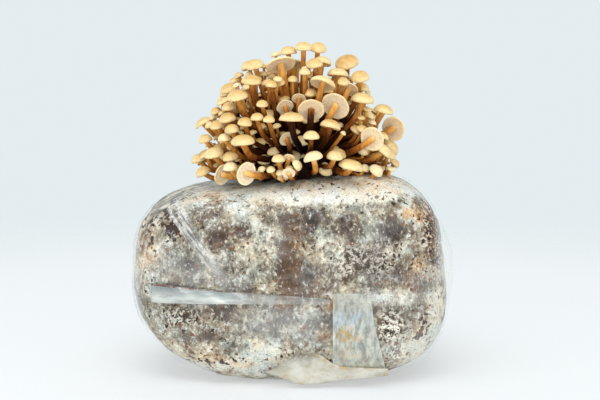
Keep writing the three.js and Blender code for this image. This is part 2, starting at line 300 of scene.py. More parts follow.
def add_mottle(look, color, mottle):
    """Places where white growth and dark bark lie side by side with sharp edges."""
    crisp = look.noise(0.0036, 6, 0.75, warp=0.5)
    crisp = look.ramp(crisp, (0.475, BARK), (0.495, (0.24, 0.18, 0.12)), (0.525, (0.75, 0.73, 0.66)))
    return look.mix(look.times(mottle, 0.9, True), color, crisp)


def add_rust(look, color, rust):
    tint = look.steps(look.noise(0.006, 5, 0.65), 0.40, 0.60, 0.2)
    tint = look.times(rust, tint, True)
    color = look.mix(tint, color, look.mix(1.0, color, (1.12, 0.80, 0.54), "MULTIPLY"))
    return look.mix(look.times(tint, 0.22), color, RUST)


def add_specks(look, color, speck, rust):
    """Small crumbs, larger lumps and rusty specks."""
    crumbs = look.plus(look.noise(0.0036, 2, 0.6), speck, 0.12)
    color = look.mix(look.steps(crumbs, 0.65, 0.665), color, SPECK)
    lumps = look.plus(look.noise(0.0072, 3, 0.65), speck, 0.15)
    color = look.mix(look.steps(lumps, 0.69, 0.705), color, SPECK)
    rusty = look.plus(look.noise(0.0040, 2, 0.5), rust, 0.05)
    return look.mix(look.steps(rusty, 0.66, 0.68), color, RUSTY_SPECK)


def substrate_look():
    look = Look("mycelium_on_sawdust", Roughness=0.6)
    dark_and_crease_shade, rust, pale_and_highlight, speck, mottle = look.attributes("dark_and_crease_shade", "rust", "pale_and_highlight", "speck", "mottle")
    broad = look.noise(0.042, 3, 0.5)
    middle = look.noise(0.012, 5, 0.62)
    fine = look.noise(0.0026, 6, 0.75, look.stretched(1, 1, 0.75), 0.3)
    grain = look.noise(0.0013, 4, 0.7)

    growth = look.math("ADD", middle, look.swing(broad, 0.28))
    growth = look.plus(look.plus(growth, dark_and_crease_shade, 0.20), pale_and_highlight, -0.17)
    flecks = look.plus(fine, look.math("SUBTRACT", growth, 0.48), -0.16)
    color = add_threads(look, growth_color(look, growth), flecks)
    color = add_mottle(look, color, mottle)
    shades = look.ramp(grain, (0.3, (0.52, 0.52, 0.51)), (0.7, (1.36, 1.35, 1.32)))
    color = look.mix(1.0, color, shades, "MULTIPLY")
    color = add_rust(look, color, rust)
    look.set("Base Color", add_specks(look, color, speck, rust))

    # The film lies on the block, so the block has the film's gloss too
    look.set("Specular IOR Level", 0.2)
    look.set("Coat Weight", 0.35)
    look.set("Coat Roughness", 0.12)
    look.bump(flecks, 0.0008, 0.5)
    look.bump(look.noise(0.007, 4, 0.6), 0.0012, 0.6, "Coat Normal")
    return look.material


# The long fold in the film's front, in metres: where it starts, its way down and its way across
FOLD_START = (-0.0786, 0.0, 0.1233)
FOLD_DOWN = (0.570, 0.0, -0.822)
FOLD_ACROSS = (0.822, 0.0, 0.570)
FOLD_LONG = 0.070


def fold_in(look):
    """Where the fold is, and the fine lines that run along it, which paint the fold's shade and highlights.
    """
    away = look.vector("SUBTRACT", look.place, FOLD_START)
    down = look.vector("DOT_PRODUCT", away, FOLD_DOWN)
    across = look.vector("DOT_PRODUCT", away, FOLD_ACROSS)
    sideways = look.math("ABSOLUTE", across)
    where = look.steps(look.math("ADD", sideways, look.times(down, 0.03)), 0.0062, 0.0045)
    where = look.times(where, look.steps(down, -0.003, 0.004))
    where = look.times(where, look.steps(down, FOLD_LONG + 0.004, FOLD_LONG - 0.040))
    where = look.times(where, look.attribute("front"))
    along = look.add("CombineXYZ")
    look.fill(along, X=across, Z=look.times(down, 0.10))
    return where, look.noise(0.0016, 3, 0.6, along.outputs["Vector"])


def film_look():
    look = Look("clear_film", Roughness=0.12, IOR=1.5)
    haze_and_highlight = look.attribute("haze_and_highlight")
    fold, lines = fold_in(look)
    # Painted shade and highlights of the fold: dark and bright fine lines along it, in the film's colour
    fold_shade_and_glint = look.ramp(look.steps(lines, 0.44, 0.56), (0, (0.10, 0.09, 0.08)), (1, (0.92, 0.93, 0.92)))
    look.set("Base Color", look.mix(look.times(fold, 0.8), CLEAR, fold_shade_and_glint))
    mist = look.steps(look.noise(0.025, 4, 0.6), 0.45, 0.70, 0.0, 0.03)
    # Painted glints: thin bright lines where the film is crinkled, standing in for its reflections
    crinkle = look.math("ABSOLUTE", look.math("SUBTRACT", look.noise(0.014, 3, 0.5, warp=0.3), 0.5))
    glint_lines = look.steps(crinkle, 0.014, 0.003)
    glint_lines = look.times(glint_lines, look.steps(look.noise(0.030, 3), 0.46, 0.60, 0.0, 0.10))
    alpha = look.plus(look.math("ADD", mist, glint_lines), haze_and_highlight, 0.4)
    look.set("Alpha", look.math("ADD", alpha, look.times(fold, 0.19), True))
    look.bump(look.noise(0.005, 4, 0.6), 0.0006, 0.6)
    return look.material


def seal_look():
    look = Look("folded_film", Roughness=0.2, IOR=1.7)
    faint, line, up = look.attributes("faint", "line", "up")
    smears = look.noise(0.005, 4, 0.6, look.stretched(0.25, 1, 1))
    color = look.ramp(smears, (0.38, (0.42, 0.45, 0.44)), (0.62, (0.60, 0.63, 0.60)))
    # Painted sheen: the band's upper part is tinted grey-blue
    upper_sheen = look.steps(look.math("ADD", up, look.swing(smears, 1.4)), 0.42, 0.60)
    color = look.mix(upper_sheen, color, look.mix(1.0, color, (0.66, 0.71, 0.74), "MULTIPLY"))
    inked = look.times(line, look.steps(look.noise(0.003, 3), 0.35, 0.5, 0.4), True)
    look.set("Base Color", look.mix(inked, color, BROWN))
    alpha = look.plus(look.steps(smears, 0.3, 0.65, 0.5, 0.78), line, 0.4)
    alpha = look.times(alpha, look.math("SUBTRACT", 1.0, faint), True)
    look.set("Alpha", look.math("MAXIMUM", alpha, look.times(inked, 0.95)))
    look.bump(smears, 0.0005, 0.5)
    return look.material


def flap_look():
    look = Look("film_flap", Roughness=0.25, IOR=1.6)
    top, seam = look.attributes("top", "seam")
    smears = look.noise(0.012, 4, 0.55, look.stretched(0.7, 1, 1))
    color = look.ramp(smears, (0.38, (0.40, 0.37, 0.28)), (0.58, (0.60, 0.59, 0.53)))
    ochre = look.steps(look.noise(0.007, 4, 0.65, warp=0.6), 0.54, 0.66, 0.0, 0.5)
    seam = look.times(seam, look.steps(look.noise(0.004, 4), 0.42, 0.60, 0.0, 0.8))
    look.set("Base Color", look.mix(look.math("MAXIMUM", ochre, seam), color, OCHRE_FILM))
    look.set("Alpha", look.steps(look.math("SUBTRACT", smears, top), -0.5, 0.55, 0.0, 0.90))
    look.bump(smears, 0.0008, 0.5)
    return look.material


def tape_look():
    look = Look("packing_tape", Roughness=0.2, IOR=1.6)
    ochre, edge, top, up = look.attributes("ochre", "edge", "top", "up")
    streaks = look.noise(0.0035, 5, 0.65, look.stretched(1, 1, 0.45))
    color = look.ramp(streaks, (0.36, (0.40, 0.43, 0.41)), (0.62, (0.63, 0.65, 0.58)))
    smear = look.times(top, look.steps(look.noise(0.004, 5, 0.65), 0.42, 0.62), True)
    color = look.mix(smear, color, (0.42, 0.50, 0.56))
    stains = look.times(ochre, look.steps(look.noise(0.003, 4), 0.42, 0.58), True)
    color = look.mix(stains, color, (0.46, 0.30, 0.09))
    foot = look.steps(up, 0.22, 0.04)
    look.set("Base Color", look.mix(look.times(foot, 0.7), color, (0.60, 0.57, 0.46)))
    alpha = look.plus(look.steps(streaks, 0.35, 0.65, 0.32, 0.62), edge, 0.3)
    alpha = look.plus(alpha, foot, 0.25)
    alpha = look.times(alpha, look.steps(up, 0.95, 0.65, 0.55, 1.0))
    alpha = look.plus(alpha, stains, 0.3)
    look.set("Alpha", look.math("ADD", alpha, look.times(smear, 0.2), True))
    look.bump(streaks, 0.0003, 0.35)
    return look.material


CAP_YOUNG = (0.79, 0.66, 0.41)
CAP_PALE = (0.63, 0.44, 0.18)
CAP_GOLD = (0.50, 0.29, 0.075)
CAP_CENTRE = (0.52, 0.27, 0.065)
CAP_RIM = (0.87, 0.70, 0.40)
CAP_LIGHT = (0.83, 0.64, 0.33)
CAP_BROWN = (0.50, 0.27, 0.08)
GILL_PALE = (1.0, 0.88, 0.66)
GILL_GOLD = (0.84, 0.58, 0.28)
GILL_BY_STEM = (0.66, 0.42, 0.22)
GILL_VALLEY_SHADE = (0.55, 0.37, 0.21)
STEM_COLLAR = (0.90, 0.70, 0.44)


def cap_look():
    look = Look("cap", Roughness=0.42, Subsurface_Weight=0.25, Subsurface_Scale=0.0025)
    look.set("Specular IOR Level", 0.3)
    look.set("Subsurface Radius", (1.0, 0.55, 0.25))
    tone, rim = look.attributes("tone", "along")
    base = look.ramp(tone, (0.0, CAP_YOUNG), (0.35, CAP_PALE), (1.0, CAP_GOLD))
    centre = look.times(look.steps(rim, 0.75, 0.0), look.steps(tone, 0.0, 1.0, 0.3, 0.9))
    light = look.steps(look.noise(0.004, 4), 0.35, 0.7, 0.0, 0.25)
    brown = look.steps(look.noise(0.0022, 4, 0.65), 0.50, 0.66, 0.0, 0.45)
    color = look.mix(centre, base, CAP_CENTRE)
    color = look.mix(look.steps(rim, 0.70, 1.0, 0.0, 0.55), color, CAP_RIM)
    color = look.mix(brown, look.mix(light, color, CAP_LIGHT), CAP_BROWN)
    look.set("Base Color", color)
    look.bump(look.noise(0.0012, 3), 0.00015, 0.35)
    return look.material


def gill_look():
    look = Look("gills", Roughness=0.7, Subsurface_Weight=0.4, Subsurface_Scale=0.003)
    look.set("Subsurface Radius", (1.0, 0.75, 0.5))
    look.set("Specular IOR Level", 0.15)
    valley, along = look.attributes("valley", "along")
    color = look.mix(look.attribute("tone"), GILL_PALE, GILL_GOLD)
    color = look.mix(look.steps(along, 0.45, 0.12, 0.0, 0.5), color, GILL_BY_STEM)
    # Painted shade: the valleys between the gills are darker
    color = look.mix(look.times(valley, 0.5), color, GILL_VALLEY_SHADE)
    flesh = look.ramp(look.noise(0.0018, 4, 0.7), (0.36, (0.86, 0.80, 0.74)), (0.58, (1.0, 1.0, 1.0)))
    look.set("Base Color", look.mix(1.0, color, flesh, "MULTIPLY"))
    return look.material


def stem_look():
    look = Look("stem", Roughness=0.5, Subsurface_Weight=0.12, Subsurface_Scale=0.002)
    look.set("Specular IOR Level", 0.08)
    look.set("Subsurface Radius", (1.0, 0.5, 0.2))
    along, tone, deep = look.attributes("along", "tone", "deep")
    streaks = look.noise(0.0025, 4, 0.6, look.stretched(1, 1, 0.3))
    place = look.math("ADD", look.math("ADD", along, look.swing(streaks, 0.35)), 0.11)
    # Painted shade: deep darkens the stems in the crowd's shaded middle towards near black
    place = look.plus(look.plus(place, tone, -0.24), deep, -0.45)
    color = look.ramp(
        place,
        (0.15, (0.004, 0.001, 0.0005)),
        (0.46, (0.040, 0.009, 0.0015)),
        (0.63, (0.27, 0.085, 0.013)),
        (0.80, (0.60, 0.28, 0.060)),
        (1.0, (0.84, 0.60, 0.27)),
    )
    collar = look.times(look.steps(along, 0.82, 0.91), look.steps(deep, 0.0, 0.5, 0.2, 0.9))
    look.set("Base Color", look.mix(collar, color, STEM_COLLAR))
    look.bump(streaks, 0.0002, 0.4)
    return look.material


def mound_look():
    look = Look("stem_base", Roughness=0.8)
    look.set("Specular IOR Level", 0.1)
    grain = look.noise(0.003, 5)
    # A dark brown base, darkened further towards black as painted shade inside the crowd
    look.set("Base Color", look.ramp(grain, (0.35, (0.004, 0.002, 0.001)), (0.7, (0.024, 0.009, 0.003))))
    look.bump(grain, 0.0006, 0.8)
    return look.material


# Meshes


def make_piece(name, points, faces, looks, look_of_face=None, values=None):
    mesh = bpy.data.meshes.new(name)
    mesh.from_pydata([tuple(p) for p in points], [], faces)
    for look in looks:
        mesh.materials.append(look)
    if look_of_face is not None:
        mesh.polygons.foreach_set("material_index", np.asarray(look_of_face, dtype=np.int32))
    for key, numbers in (values or {}).items():
        layer = mesh.attributes.new(key, "FLOAT", "POINT")
        layer.data.foreach_set("value", np.asarray(numbers, dtype=np.float32))
    mesh.polygons.foreach_set("use_smooth", np.ones(len(mesh.polygons), dtype=bool))
    mesh.update()
    return put(name, mesh)


def field(points, size, offset=0.0, depth=3):
    """Smooth noise between about -1 and 1, with features of that size."""
    shift = Vector((offset, 1.7 * offset, -offset))
    return np.array([noise.fractal(Vector(p) / size + shift, 0.9, 2.0, depth) for p in points])


def ridges(points, size, offset=0.0):
    """Sharp creases that run through a smooth field, 1 on the crease and 0 away from it."""
    shift = Vector((offset, -offset, 0.6 * offset))
    return np.array([1 - abs(noise.noise(Vector(p) / size + shift)) * 2.2 for p in points])


# The bag and the block


def box_grid(cells):
    """The points of a cube's skin between -1 and 1 on a regular grid, and its faces."""
    numbers = {}
    points, faces = [], []

    def point(*step):
        if step not in numbers:
            numbers[step] = len(points)
            points.append([2 * s / n - 1 for s, n in zip(step, cells)])
        return numbers[step]

    for axis in range(3):
        u, v = (axis + 1) % 3, (axis + 2) % 3
        for side in (0, cells[axis]):
            for i in range(cells[u]):
                for j in range(cells[v]):
                    corners = []
                    for a, b in ((0, 0), (1, 0), (1, 1), (0, 1)):
                        step = [0, 0, 0]
                        step[axis], step[u], step[v] = side, i + a, j + b
                        corners.append(point(*step))
                    faces.append(corners if side else corners[::-1])
    return np.array(points), faces


def outline_at(x, z, sack):
    """The exponent of a sack's outline at each place."""
    return np.where(x >= 0, sack["outline"], np.where(z > 0, sack["corner"], sack["slump"]))


def sack_points(cube, sack):
    """The sack's skin under points of the cube."""
    x, y, z = np.abs(cube).T
    outline, face = outline_at(cube[:, 0], cube[:, 2], sack), sack["face"]
    reach = ((x**outline + z**outline) ** (face / outline) + y**face) ** (1 / face)
    x, y, z = (cube / reach[:, None]).T
    bulge = 1 + 0.007 * (np.sin(3.1 * x + 1.7 * z + 0.6) + np.sin(4.3 * z - 2.3 * x + 2.2 * y))
    wide, deep, tall = sack["half"]
    up = tall - SAG / 2 + z * bulge * (tall + SAG / 2)
    up += SHOULDER_RISE * x * np.maximum(0, z) + sack["floor"] + (BAG["half"][2] - tall) / 2
    return np.stack([x * bulge * wide, y * bulge * deep, up], axis=1)


def outward(points, faces):
    """The normal at each point of a mesh."""
    quads = points[np.array(faces)]
    cross = np.cross(quads[:, 2] - quads[:, 0], quads[:, 3] - quads[:, 1])
    normals = np.zeros_like(points)
    for corner in range(4):
        np.add.at(normals, np.array(faces)[:, corner], cross)
    return normals / np.linalg.norm(normals, axis=1, keepdims=True)


# Marks on the front face: middle x and z, half width and half height in millimetres, strength. Some paint
# shade and some paint highlights, as said at each list.
# DARK_AND_CREASE_SHADE is the block's dark sawdust. Near x 96 to 99 it also paints the shade in the crease
# at the right end.
DARK_AND_CREASE_SHADE = (
    (1, 88, 9, 33, 1.4), (12, 112, 14, 13, 1.1), (40, 107, 11, 9, 1.2), (53, 89, 9, 10, 1.0),
    (57, 78, 16, 9, 1.1), (68, 106, 9, 8, 1.1), (36, 84, 12, 16, 0.8), (96, 108, 5, 22, 2.0),
    (99, 88, 4, 16, 0.9), (-34, 105, 9, 7, 0.8), (-49, 102, 9, 9, 0.6), (-58, 113, 5, 5, 0.6),
    (-80, 129, 14, 6, 0.3), (-68, 82, 24, 10, 0.25), (-75, 48, 15, 10, 0.7), (-42, 53, 14, 9, 0.45),
    (-14, 48, 14, 12, 0.35), (68, 41, 11, 12, 0.9), (24, 45, 7, 9, 0.5), (13, 79, 9, 12, 0.35),
)
RUSTY = (
    (1, 90, 8, 32, 0.8), (85, 115, 9, 9, 1.5), (74, 118, 8, 6, 0.9), (-99, 95, 6, 24, 0.9),
    (-62, 129, 16, 7, 0.7), (-92, 92, 5, 14, 0.6), (-3, 59, 8, 5, 1.8), (27, 57, 4, 6, 1.8),
    (23, 38, 4, 5, 1.6), (-58, 19, 22, 5, 0.7), (-30, 15, 13, 3, 0.6), (84, 80, 9, 16, 0.8),
    (97, 104, 5, 26, 1.0), (60, 134, 24, 7, 0.6), (20, 134, 30, 6, 0.45),
)
SPECKLED = (
    (-81, 112, 9, 14, 1.6), (-76, 104, 8, 6, 0.9), (-66, 102, 4, 4, 1.4), (-78, 129, 14, 6, 1.2),
    (-96, 100, 7, 16, 1.0), (-97, 60, 5, 20, 0.6), (-75, 46, 16, 10, 0.5), (-52, 17, 24, 5, 0.8),
    (97, 100, 6, 26, 1.0), (10, 100, 10, 22, 0.5), (70, 88, 24, 20, 0.4), (90, 42, 9, 9, 0.9),
    (88, 36, 6, 5, 1.2), (-80, 13, 14, 5, 1.0), (23, 38, 3, 4, 1.5),
)
# PALE_AND_HIGHLIGHT is pale growth. Near z 130 to 134 along the top front edge, and on the white patch at
# the top left, it paints highlights. Near the lower left edge it paints light where the bottom is in shade.
PALE_AND_HIGHLIGHT = (
    (-33, 118, 12, 8, 0.5), (10, 132, 72, 8, 1.9), (-62, 122, 14, 6, 0.2), (-84, 110, 10, 12, 0.3),
    (-82, 130, 24, 12, 1.5), (84, 116, 12, 9, 0.7), (20, 104, 3, 12, 0.6), (34, 92, 3, 16, 0.5),
    (45, 122, 26, 6, 0.6), (-23, 108, 5, 14, 0.5), (30, 93, 6, 9, 0.35), (52, 103, 3, 12, 0.5),
    (84, 24, 24, 14, 1.6), (96, 44, 12, 20, 1.3), (60, 134, 36, 10, 1.1), (-72, 134, 26, 8, 1.1),
    (-10, 20, 20, 8, 0.9), (-84, 94, 10, 8, 0.4), (-35, 26, 26, 8, 0.4), (78, 63, 24, 5, 0.4),
    (55, 60, 25, 4, 0.4), (-44, 14, 44, 8, 1.2), (-82, 24, 14, 14, 0.7), (-97, 80, 5, 30, 0.6),
    (26, 22, 9, 7, 0.9),
)
MOTTLED = (
    (68, 41, 13, 15, 1.1), (72, 22, 6, 8, 0.8), (-75, 48, 17, 11, 0.8), (36, 84, 14, 18, 0.6),
    (57, 86, 18, 16, 0.5), (101, 90, 4, 24, 0.8), (94, 108, 6, 24, 1.1), (-80, 128, 14, 7, 0.5),
)
# HAZE_AND_HIGHLIGHT is milky film. It also paints highlights: the streak along the top front edge and the
# white patch at the top left.
HAZE_AND_HIGHLIGHT = (
    (-5, 44, 36, 18, 0.55), (-61, 76, 28, 9, 0.4), (-86, 84, 13, 16, 0.55), (-33, 119, 11, 7, 0.6),
    (10, 130, 64, 4, 0.9), (62, 62, 38, 5, 0.7), (90, 26, 22, 16, 0.7), (100, 80, 4, 40, 0.5),
    (-45, 12, 40, 6, 0.5), (-78, 137, 34, 9, 0.8),
)


def patch(x, z, across, above, wide, tall):
    """1 in the middle of an oval patch, less towards its edge and 0 a little outside it."""
    return np.clip(1.25 - np.hypot((x - across) / wide, (z - above) / tall), 0, 1)


def ramp_up(value, start, end):
    """0 up to the start, 1 from the end on."""
    return np.clip((value - start) / (end - start), 0, 1)


def front_marks(points, patches):
    """How strongly the patches mark each point. They fade out towards the back."""
    x, y, z = points.T / MM
    total = np.zeros(len(points))
    for across, above, wide, tall, strength in patches:
        total += strength * patch(x, z, across, above, wide, tall)
    return np.clip(total * ramp_up(y, 25, -15), 0, 2)


def cloud(points, size, offset, floor=0.0):
    """Patches of smooth noise, 0 between them."""
    return np.clip(field(points, size, offset, 2) - floor, 0, 1)


def block_values(points):
    """What the block's look reads: the front's stains, painted crease shade and painted highlights, and
    looser clouds on the sides and the back.
    """
    x, y, _ = points.T / MM
    away = ramp_up(y, -45, -20)
    ends = ramp_up(np.abs(x), 96, 106)
    return {
        "dark_and_crease_shade": front_marks(points, DARK_AND_CREASE_SHADE) + 1.1 * cloud(points, 0.035, 15.0) * away,
        "rust": front_marks(points, RUSTY) + 0.4 * cloud(points, 0.03, 31.0, 0.1),
        "pale_and_highlight": front_marks(points, PALE_AND_HIGHLIGHT) + 0.6 * ends + 0.9 * cloud(points, 0.05, 41.0) * away,
        "speck": front_marks(points, SPECKLED),
        "mottle": front_marks(points, MOTTLED),
    }


def make_block():
    cube, faces = box_grid(BLOCK_CELLS)
    points = sack_points(cube, BLOCK)
    lumps = 1.0 * field(points, 0.030, 4.0, 2) + 0.45 * field(points, 0.009, 9.0, 3) - 0.6
    points = points + outward(points, faces) * (lumps * MM)[:, None]
    points[:, 2] = np.maximum(points[:, 2], BLOCK["floor"])
    piece = make_piece("substrate", points, faces, [substrate_look()], values=block_values(points))
    dress(piece, "substrate", "substrate_block")


# Creases in the film's front: from x, z to x, z in millimetres, width, height
CREASES = (
    (-79, 123, -39, 66, 4.0, 1.0),
    (60, 60, 84, 78, 2.5, 0.7),
    (70, 30, 92, 52, 2.5, 0.7),
    (-95, 110, -100, 66, 3.0, 1.0),
    (10, 132, 24, 112, 2.5, 0.7),
    (-26, 131, -22, 112, 2.5, 0.8),
    (40, 78, 98, 73, 2.5, 0.7),
    (-60, 34, -20, 22, 2.5, 0.7),
)


# Where the film hangs loose at the right end, in millimetres
SLACK = {"middle": 82, "half": 28, "off": 4.5}


def crease_lift(points):
    """How far the creases stand up, in millimetres."""
    x, y, z = points.T / MM
    lift = np.zeros(len(points))
    front = ramp_up(y, -35, -55)
    for x0, z0, x1, z1, width, height in CREASES:
        way = np.array([x1 - x0, z1 - z0])
        share = np.clip(((x - x0) * way[0] + (z - z0) * way[1]) / way.dot(way), 0, 1)
        away = np.hypot(x - x0 - share * way[0], z - z0 - share * way[1])
        taper = np.sin(np.pi * np.clip(share, 0.04, 0.96)) ** 0.4
        lift = np.maximum(lift, height * taper * np.clip(1 - away / width, 0, 1) * front)
    return lift


def film_lift(points):
    """How far the film stands off the bag's full shape, in millimetres."""
    crumple = 0.55 * ridges(points, 0.022, 3.0) + 0.35 * ridges(points, 0.010, 8.0)
    crumple = 1.1 * np.clip(crumple - 0.35, 0, 1)
    drape = 0.5 * field(points, 0.05, 21.0, 2)
    x, _, z = points.T / MM
    loose = np.clip(1.2 - np.abs(z - SLACK["middle"]) / SLACK["half"], 0, 1)
    slack = SLACK["off"] * ramp_up(x, 98, 108) * loose
    return crumple + drape + crease_lift(points) + slack - 0.9


def opening_share(points):
    """1 on the torn rim of the opening in the film's top, less inside it."""
    x, y = points[:, 0] - OPENING["middle"][0], points[:, 1] - OPENING["middle"][1]
    turn = np.arctan2(y, x)
    torn = 1 + 0.035 * np.sin(3 * turn + 1) + 0.025 * np.sin(7 * turn) + 0.012 * np.sin(17 * turn)
    return np.hypot(x / OPENING["half"][0], y / OPENING["half"][1]) / torn


def shell(points, faces, inner):
    """Closes a sheet: its outer face, its inner face and a wall along each open edge."""
    count = len(points)
    edges = dict.fromkeys(pair for face in faces for pair in zip(face, face[1:] + face[:1]))
    walls = [[b, a, a + count, b + count] for a, b in edges if (b, a) not in edges]
    under = [[i + count for i in reversed(face)] for face in faces]
    return np.concatenate([points, inner]), faces + under + walls


def only_used(points, faces, *values):
    """The points that the faces use, renumbered."""
    used = sorted({i for face in faces for i in face})
    number = {old: new for new, old in enumerate(used)}
    faces = [[number[i] for i in face] for face in faces]
    return (points[used], faces, *(v[used] for v in values))


def haze_of(points, lift):
    """Where the film looks milky: on creases, where it stands off, in patches and at the ends. Two patches
    are painted highlights: the streak along the top front edge and the white patch at the top left.
    """
    x = points[:, 0] / MM
    haze_and_highlight = 0.15 * crease_lift(points) + 0.12 * np.clip(lift, 0, 1) + 0.35 * front_marks(points, HAZE_AND_HIGHLIGHT)
    return haze_and_highlight + 0.12 * ramp_up(np.abs(x), 98, 110) + 0.35 * ramp_up(-x, 98, 108)


def film_skin():
    """The film's closed shell, with the opening that the cluster grows out of."""
    cube, faces = box_grid(FILM_CELLS)
    points = sack_points(cube, BAG)
    normals = outward(points, faces)
    lift = film_lift(points)
    share = opening_share(points)
    top = points[:, 2] > OPENING["above"]
    open_faces = [face for face in faces if not all(top[i] and share[i] < 1 for i in face)]
    points = points + normals * (lift * MM)[:, None]
    points[:, 2] = np.maximum(points[:, 2], 0)
    near = top & (share < OPENING["turned_up"])
    points[near, 2] += OPENING["rise"] * ramp_up(share[near], OPENING["turned_up"], 1) ** 2
    haze_and_highlight = haze_of(points, lift)
    front = ramp_up(points[:, 1] / MM, -40, -55)
    points, faces, normals, haze_and_highlight, front = only_used(points, open_faces, normals, haze_and_highlight, front)
    inner = points - normals * FILM_THICK
    inner[:, 2] = np.maximum(inner[:, 2], FILM_THICK)
    points, faces = shell(points, faces, inner)
    return points, faces, {"haze_and_highlight": np.tile(haze_and_highlight, 2), "front": np.tile(front, 2)}


def front_depth(x, z):
    """y of the bag's front, without its swell."""
    wide, deep, tall = BAG["half"]
    up = (z - tall + SAG / 2) / (tall + SAG / 2)
    power = outline_at(x, up, BAG)
    outline = (np.abs(x / wide) ** power + np.abs(up) ** power) ** (1 / power)
    return -deep * (1 - np.clip(outline, 0, 0.98) ** BAG["face"]) ** (1 / BAG["face"])


def front_sheet(columns, rows, place):
    """A closed thin sheet. place gives x, y and z for shares across and up."""
    u, v = np.meshgrid(np.linspace(0, 1, columns + 1), np.linspace(0, 1, rows + 1))
    u, v = u.ravel(), v.ravel()
    points = np.stack(place(u, v), axis=1)
    wide = columns + 1
    faces = []
    for j in range(rows):
        for i in range(columns):
            a = j * wide + i
            faces.append([a, a + 1, a + 1 + wide, a + wide])
    inner = points + np.array([0, SHEET_THICK, 0])
    points, faces = shell(points, faces, inner)
    return points, faces, np.tile(u, 2), np.tile(v, 2)


def make_film():
    points, faces, values = film_skin()
    piece = make_piece("film", points, faces, [film_look()], values=values)
    dress(piece, "film", "bag_film")


def make_seal():
    """The seal's folded band across the front. It is plain at the left and faint at the right."""

    def place(u, v):
        x = SEAL["left"] + u * (SEAL["right"] - SEAL["left"])
        tall = (SEAL["high"] - SEAL["low"]) * (1 - SEAL["taper"] * u)
        z = SEAL["low"] + v * tall - v * u * SEAL["sag"]
        ripple = 0.3 * MM * np.sin(31 * u + 4 * v) * np.sin(11 * u)
        return x, front_depth(x, z) - SEAL["off"] - ripple, z

    points, faces, u, v = front_sheet(90, 36, place)
    values = {
        "line": ramp_up(v, 0.88, 0.91) * np.clip(1.35 - u, 0.5, 1),
        "faint": 0.72 * ramp_up(u, 0.42, 0.58),
        "up": v,
    }
    dress(make_piece("seal", points, faces, [seal_look()], values=values), "film")


# The flap's lower and upper edge: share across, z in millimetres
FLAP_HEM = ((0.0, 11.0), (0.12, 7.0), (0.22, 3.6), (0.30, 2.4), (0.42, 3.0), (0.6, 5.0), (1.0, 8.2))
FLAP_TOP = (
    (0.0, 12.5), (0.12, 18), (0.24, 23.5), (0.34, 25.5), (0.40, 25), (0.46, 23), (0.54, 18),
    (0.62, 15.5), (1.0, 13.5),
)


def make_flap():
    """The end of the bag's bottom seam, which sticks out below the block at the front."""

    def place(u, v):
        x = FLAP["left"] + u * (FLAP["right"] - FLAP["left"])
        hem = np.interp(u, *zip(*FLAP_HEM)) * MM + 0.15 * MM * np.sin(23 * u)
        top = np.interp(u, *zip(*FLAP_TOP)) * MM
        y = front_depth(x, FLAP["top"]) - FLAP["off"] + FLAP["tuck"] * (1 - v) ** 2
        ripple = 0.8 * MM * np.sin(13 * u + 2 * v) * (1 - v)
        return x, y + ripple, hem + v * (top - hem)

    points, faces, u, v = front_sheet(80, 24, place)
    folded = ramp_up(u, 0.30, 0.46)
    values = {
        "top": ramp_up(v, 0.45, 1) * (1 - 0.75 * folded),
        "seam": ramp_up(v, 0.72, 0.92) * folded,
    }
    dress(make_piece("flap", points, faces, [flap_look()], values=values), "film")


# The tape's right edge: share up the tape, x in millimetres
TAPE_RIGHT = ((0.0, 65.5), (0.65, 56), (1.0, 53.5))
# Stains on the tape: shares across and up, half sizes, strength
TAPE_STAINS = (
    (0.28, 0.52, 0.24, 0.09, 1.0),
    (0.50, 0.47, 0.40, 0.06, 0.6),
    (0.25, 0.28, 0.22, 0.16, 0.5),
    (0.60, 0.20, 0.20, 0.14, 0.4),
    (0.45, 0.08, 0.60, 0.04, 1.0),
    (0.03, 0.90, 0.05, 0.07, 0.8),
)


def make_tape():
    def place(u, v):
        right = np.interp(v, *zip(*TAPE_RIGHT)) * MM
        x = TAPE["left"] + u * (right - TAPE["left"])
        z = TAPE["low"] + v * (TAPE["high"] - TAPE["low"])
        swell = 0.4 + 0.6 * np.sin(4 * v + 3 * u) ** 2
        ripple = 0.35 * MM * swell * np.sin(55 * u + 9 * np.sin(5 * v))
        return x, front_depth(x, z) - TAPE["off"] - ripple, z

    points, faces, u, v = front_sheet(40, 70, place)
    ochre = np.zeros(len(u))
    for across, above, wide, tall, strength in TAPE_STAINS:
        ochre += strength * patch(u, v, across, above, wide, tall)
    values = {
        "ochre": np.clip(ochre, 0, 1),
        "edge": np.clip(1 - np.minimum(u, 1 - u) / 0.03, 0, 1),
        "top": np.clip(1.2 - np.abs(v - 0.70) / 0.12, 0, 1),
        "up": v,
    }
    dress(make_piece("tape", points, faces, [tape_look()], values=values), "tape", "packing_tape")


def dress(piece, slot, *nodes):
    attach(piece, "root")
    if nodes:
        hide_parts(*nodes)


# Mushrooms

# How many sides the named, the small and the extra mushrooms have
SIDES, SMALL_SIDES, EXTRA_SIDES = 72, 36, 18
CAD_SMALL_SIDES = 5
STEM_RINGS = 16
ROOT = 0.006  # how far a stem is carried on into the mound
# Painted shade: stems in the crowd's middle, round this spot, are darkened up to the cap
PAINTED_SHADE_ZONE = {"x": 0.010, "z": 0.178, "reach": 0.022}  # where stems are dark up to the cap
STEM, GILLS, CAP, MOUND = range(4)
# The cap's underside, from the stem outwards: share of its width, of its hollow and of a gill's depth
HOLLOW = (
    (0.0, 1.0, 0.0), (0.30, 0.92, 0.6), (0.50, 0.72, 1.0), (0.72, 0.35, 1.0), (0.88, -0.10, 0.7),
    (0.955, -0.36, 0.15),
)
